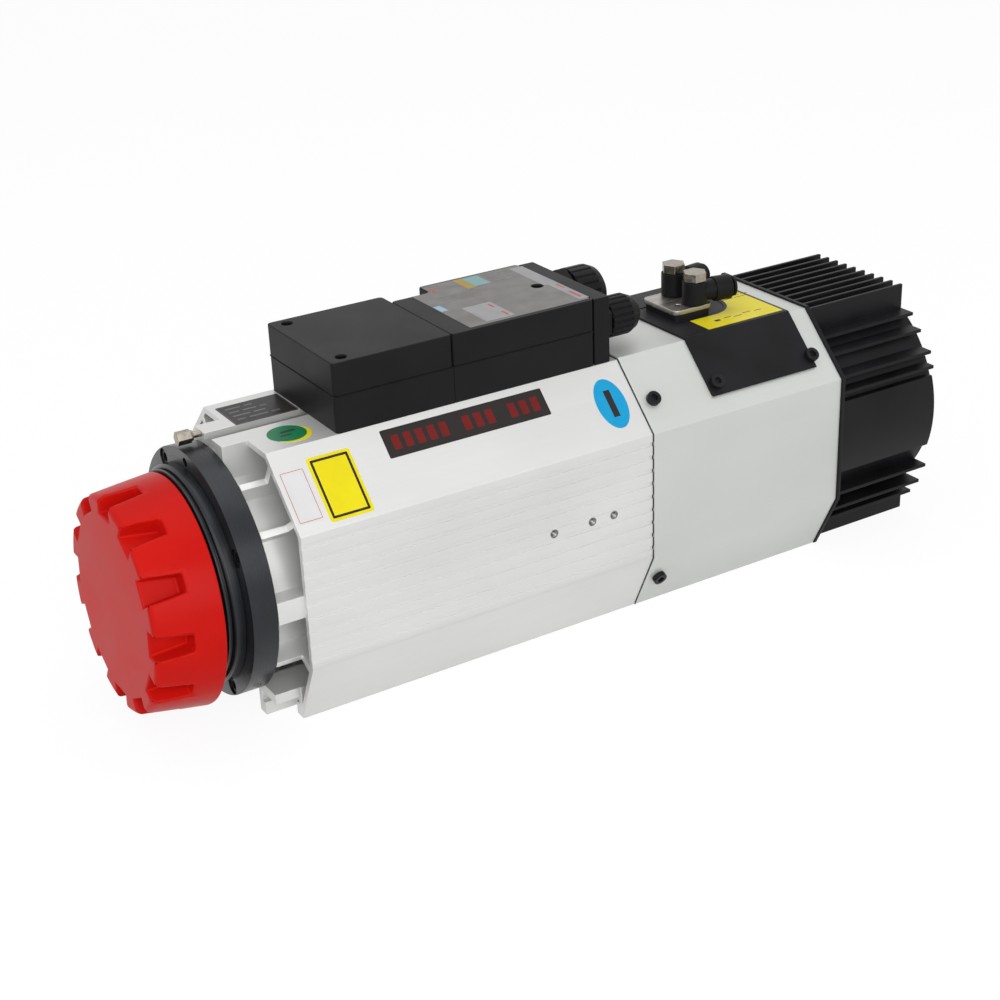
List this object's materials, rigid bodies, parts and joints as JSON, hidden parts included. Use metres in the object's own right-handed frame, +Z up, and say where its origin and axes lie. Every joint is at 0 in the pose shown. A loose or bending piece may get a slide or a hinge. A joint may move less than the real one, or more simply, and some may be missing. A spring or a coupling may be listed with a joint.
{
  "type": "motor spindle",
  "caption": "Air-cooled motor spindle with automatic tool clamping, an eight-sided finned aluminium housing, a black terminal box, a fan shroud at the rear and a red cap over the nose.",
  "frame": {"origin": "on the underside, in the middle plane, at the front edge of the ribbed outer skin", "axes": "+X along the spindle axis towards the fan, +Z up through the terminal box"},
  "size_m": [0.5312, 0.155, 0.1937],
  "materials": {
    "front_aluminium": "brushed along the axis, clear anodised",
    "rear_aluminium": "fine brushed, clear anodised",
    "black_metal": "satin black anodised",
    "black_fins": "satin black",
    "red_plastic": "moulded, low gloss",
    "black_plastic": "fine moulded grain",
    "black_rubber": "matt",
    "steel": "ground",
    "black_screws": "black oxide",
    "nickel": "dull nickel plate",
    "stainless": "brushed",
    "core_iron": "laminated",
    "copper": "varnished copper",
    "bare_aluminium": "machined",
    "wire": "black coated wire"
  },
  "bodies": {
    "housing": {"motor_housing": "front_aluminium", "rear_housing": "rear_aluminium", "front_flange": "black_metal", "flange_screws": "black_screws", "bearing_cover": "black_metal", "nose_plug": "nickel", "front_bearing_outer": "steel", "rear_bearing_outer": "steel", "bearing_retainer": "steel", "stator_core": "core_iron", "stator_windings": "copper", "rear_bearing_shield": "bare_aluminium", "cylinder_body": "bare_aluminium", "cylinder_lid": "bare_aluminium", "shroud_plate": "black_fins", "fan_shroud": "black_fins", "fan_motor": "black_metal", "fan_bracket": "black_metal", "fan_guard": "wire", "terminal_box_base": "black_plastic", "terminal_lid_front": "black_plastic", "terminal_lid_rear": "black_plastic", "box_gasket": "black_rubber", "box_screws": "black_screws", "gland_plate": "black_plastic", "small_gland_body": "black_plastic", "small_gland_nut": "black_plastic", "small_gland_seal": "black_rubber", "large_gland_body": "black_plastic", "large_gland_nut": "black_plastic", "large_gland_seal": "black_rubber", "terminal_block": "black_plastic", "top_sheet": "black_fins", "air_block": "black_fins", "fitting_plate": "stainless", "near_bolt": "nickel", "far_bolt": "nickel", "housing_screws": "black_screws", "sheet_screws": "black_screws"},
    "cap": {"nose_cap": "red_plastic"},
    "spindle": {"spindle_shaft": "steel", "drive_keys": "steel", "front_bearing_inner": "steel", "rear_bearing_inner": "steel", "bearing_lock_nut": "steel", "rotor_core": "core_iron", "rotor_end_rings": "bare_aluminium", "disc_springs": "steel"},
    "drawbar": {"drawbar": "steel"},
    "claw_1": {"gripper_claw_1": "steel"},
    "claw_2": {"gripper_claw_2": "steel"},
    "claw_3": {"gripper_claw_3": "steel"},
    "claw_4": {"gripper_claw_4": "steel"},
    "piston": {"piston": "bare_aluminium", "piston_seal": "black_rubber"},
    "fan": {"fan_impeller": "black_plastic"},
    "near_elbow": {"near_elbow": "black_plastic"},
    "near_collar": {"near_collar": "black_plastic"},
    "far_elbow": {"far_elbow": "black_plastic"},
    "far_collar": {"far_collar": "black_plastic"}
  },
  "joints": [
    {"name": "cap_pull", "type": "slide", "parent": "housing", "child": "cap", "axis": [-1, 0, 0], "range_m": [0, 0.12]},
    {"name": "spindle_spin", "type": "hinge", "parent": "housing", "child": "spindle", "pos_m": [0, 0, 0.0765], "axis": [1, 0, 0], "continuous": true},
    {"name": "piston_slide", "type": "slide", "parent": "housing", "child": "piston", "axis": [-1, 0, 0], "range_m": [0, 0.0084], "stiffness_N_per_m": 5000},
    {"name": "drawbar_slide", "type": "slide", "parent": "spindle", "child": "drawbar", "axis": [-1, 0, 0], "range_m": [0, 0.007], "deforming": ["disc_springs"]},
    {"name": "fan_spin", "type": "hinge", "parent": "housing", "child": "fan", "pos_m": [0.405, 0, 0.0765], "axis": [1, 0, 0], "continuous": true},
    {"name": "near_elbow_swivel", "type": "hinge", "parent": "housing", "child": "near_elbow", "pos_m": [0.3025, -0.0106, 0.1703], "axis": [0, 0, 1], "range_deg": [-90, 5]},
    {"name": "far_elbow_swivel", "type": "hinge", "parent": "housing", "child": "far_elbow", "pos_m": [0.3025, 0.0106, 0.1703], "axis": [0, 0, 1], "range_deg": [-5, 90]},
    {"name": "near_collar_press", "type": "slide", "parent": "near_elbow", "child": "near_collar", "axis": [-0.9781, 0.2079, 0], "range_m": [0, 0.0012], "stiffness_N_per_m": 600},
    {"name": "far_collar_press", "type": "slide", "parent": "far_elbow", "child": "far_collar", "axis": [-0.9903, -0.1392, 0], "range_m": [0, 0.0012], "stiffness_N_per_m": 600},
    {"name": "claw_1_swing", "type": "hinge", "parent": "drawbar", "child": "claw_1", "pos_m": [0.014, 0.00495, 0.08145], "axis": [0, 0.7071, -0.7071], "range_deg": [0, 5]},
    {"name": "claw_2_swing", "type": "hinge", "parent": "drawbar", "child": "claw_2", "pos_m": [0.014, -0.00495, 0.08145], "axis": [0, 0.7071, 0.7071], "range_deg": [0, 5]},
    {"name": "claw_3_swing", "type": "hinge", "parent": "drawbar", "child": "claw_3", "pos_m": [0.014, -0.00495, 0.07155], "axis": [0, -0.7071, 0.7071], "range_deg": [0, 5]},
    {"name": "claw_4_swing", "type": "hinge", "parent": "drawbar", "child": "claw_4", "pos_m": [0.014, 0.00495, 0.07155], "axis": [0, -0.7071, -0.7071], "range_deg": [0, 5]}
  ],
  "couplings": [
    {"joint": "drawbar_slide", "follows": "piston_slide", "ratio": 0.8333},
    {"joint": "claw_1_swing", "follows": "piston_slide", "rad_per_m": 10.385},
    {"joint": "claw_2_swing", "follows": "piston_slide", "rad_per_m": 10.385},
    {"joint": "claw_3_swing", "follows": "piston_slide", "rad_per_m": 10.385},
    {"joint": "claw_4_swing", "follows": "piston_slide", "rad_per_m": 10.385}
  ]
}
